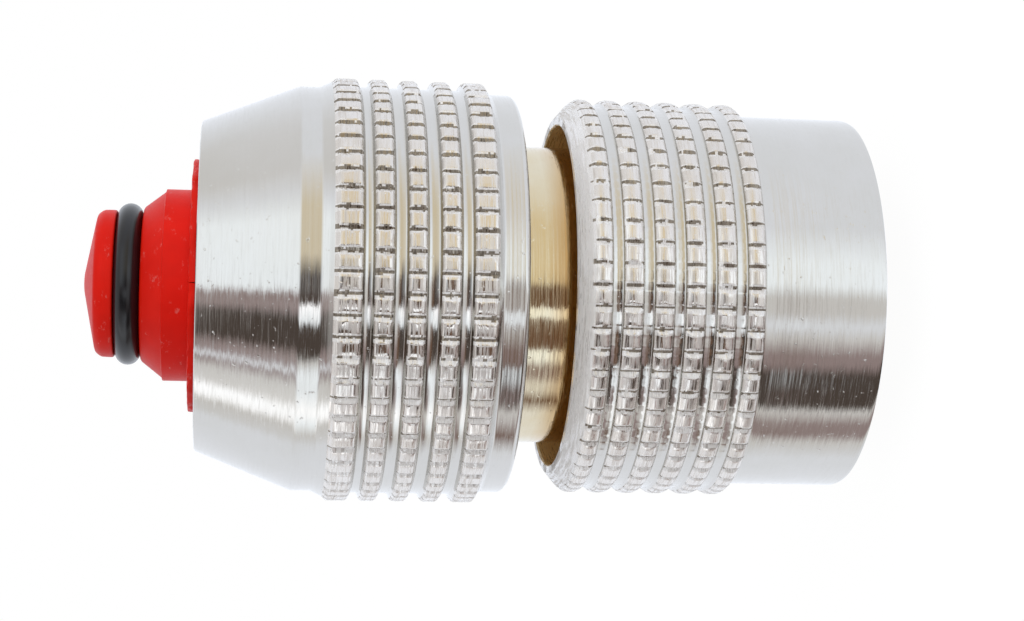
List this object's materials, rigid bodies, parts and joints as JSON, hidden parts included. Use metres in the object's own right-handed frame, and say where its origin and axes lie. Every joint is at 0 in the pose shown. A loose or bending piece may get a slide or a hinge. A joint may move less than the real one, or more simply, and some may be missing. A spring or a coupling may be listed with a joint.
{
  "type": "garden hose quick connector",
  "caption": "Metal quick connector for a garden hose: knurled release sleeve, locking claws, sprung shut-off valve and a knurled clamp nut for the hose.",
  "frame": {"origin": "centre of the hose nut's rear face", "axes": "+Z along the connector's axis, from the hose nut towards the valve nose"},
  "size_m": [0.0342, 0.0342, 0.0619],
  "materials": {
    "brass": "turned bare brass",
    "nickel": "nickel-plated turned brass",
    "spring_steel": "drawn stainless wire",
    "black_rubber": "smooth moulded rubber",
    "white_plastic": "natural acetal",
    "red_plastic": "waxy moulded plastic"
  },
  "bodies": {
    "body": {"main_body": "brass", "hose_tail": "brass", "tail_washer": "black_rubber", "claw_retainer": "brass", "sleeve_spring": "spring_steel", "valve_spring": "spring_steel"},
    "sleeve": {"release_sleeve": "nickel", "stop_ring": "spring_steel"},
    "plunger": {"valve_plunger": "red_plastic", "nose_ring": "black_rubber", "valve_head": "red_plastic", "valve_seal": "black_rubber"},
    "collet": {"hose_collet": "white_plastic"},
    "nut": {"hose_nut": "nickel"},
    "claw_1": {"claw_1": "red_plastic"},
    "claw_2": {"claw_2": "red_plastic"},
    "claw_3": {"claw_3": "red_plastic"},
    "claw_4": {"claw_4": "red_plastic"}
  },
  "joints": [
    {"name": "sleeve_slide", "type": "slide", "parent": "body", "child": "sleeve", "axis": [0, 0, -1], "range_m": [0, 0.0037], "stiffness_N_per_m": 2000, "springref_m": -0.004, "deforming": ["sleeve_spring"]},
    {"name": "valve_slide", "type": "slide", "parent": "body", "child": "plunger", "axis": [0, 0, -1], "range_m": [0, 0.0065], "stiffness_N_per_m": 600, "springref_m": -0.006, "deforming": ["valve_spring"]},
    {"name": "collet_slide", "type": "slide", "parent": "body", "child": "collet", "axis": [0, 0, -1], "range_m": [0, 0.00375]},
    {"name": "nut_turn", "type": "hinge", "parent": "collet", "child": "nut", "pos_m": [0, 0, 0.012], "axis": [0, 0, -1], "range_deg": [0, 900]},
    {"name": "claw_1_slide", "type": "slide", "parent": "body", "child": "claw_1", "axis": [0.7071, 0.7071, 0], "range_m": [0, 0.0007]},
    {"name": "claw_2_slide", "type": "slide", "parent": "body", "child": "claw_2", "axis": [-0.7071, 0.7071, 0], "range_m": [0, 0.0007]},
    {"name": "claw_3_slide", "type": "slide", "parent": "body", "child": "claw_3", "axis": [-0.7071, -0.7071, 0], "range_m": [0, 0.0007]},
    {"name": "claw_4_slide", "type": "slide", "parent": "body", "child": "claw_4", "axis": [0.7071, -0.7071, 0], "range_m": [0, 0.0007]}
  ],
  "couplings": [
    {"joint": "nut_turn", "follows": "collet_slide", "rad_per_m": 4188.8},
    {"joint": "claw_1_slide", "follows": "sleeve_slide", "ratio": 0.18919},
    {"joint": "claw_2_slide", "follows": "sleeve_slide", "ratio": 0.18919},
    {"joint": "claw_3_slide", "follows": "sleeve_slide", "ratio": 0.18919},
    {"joint": "claw_4_slide", "follows": "sleeve_slide", "ratio": 0.18919}
  ]
}
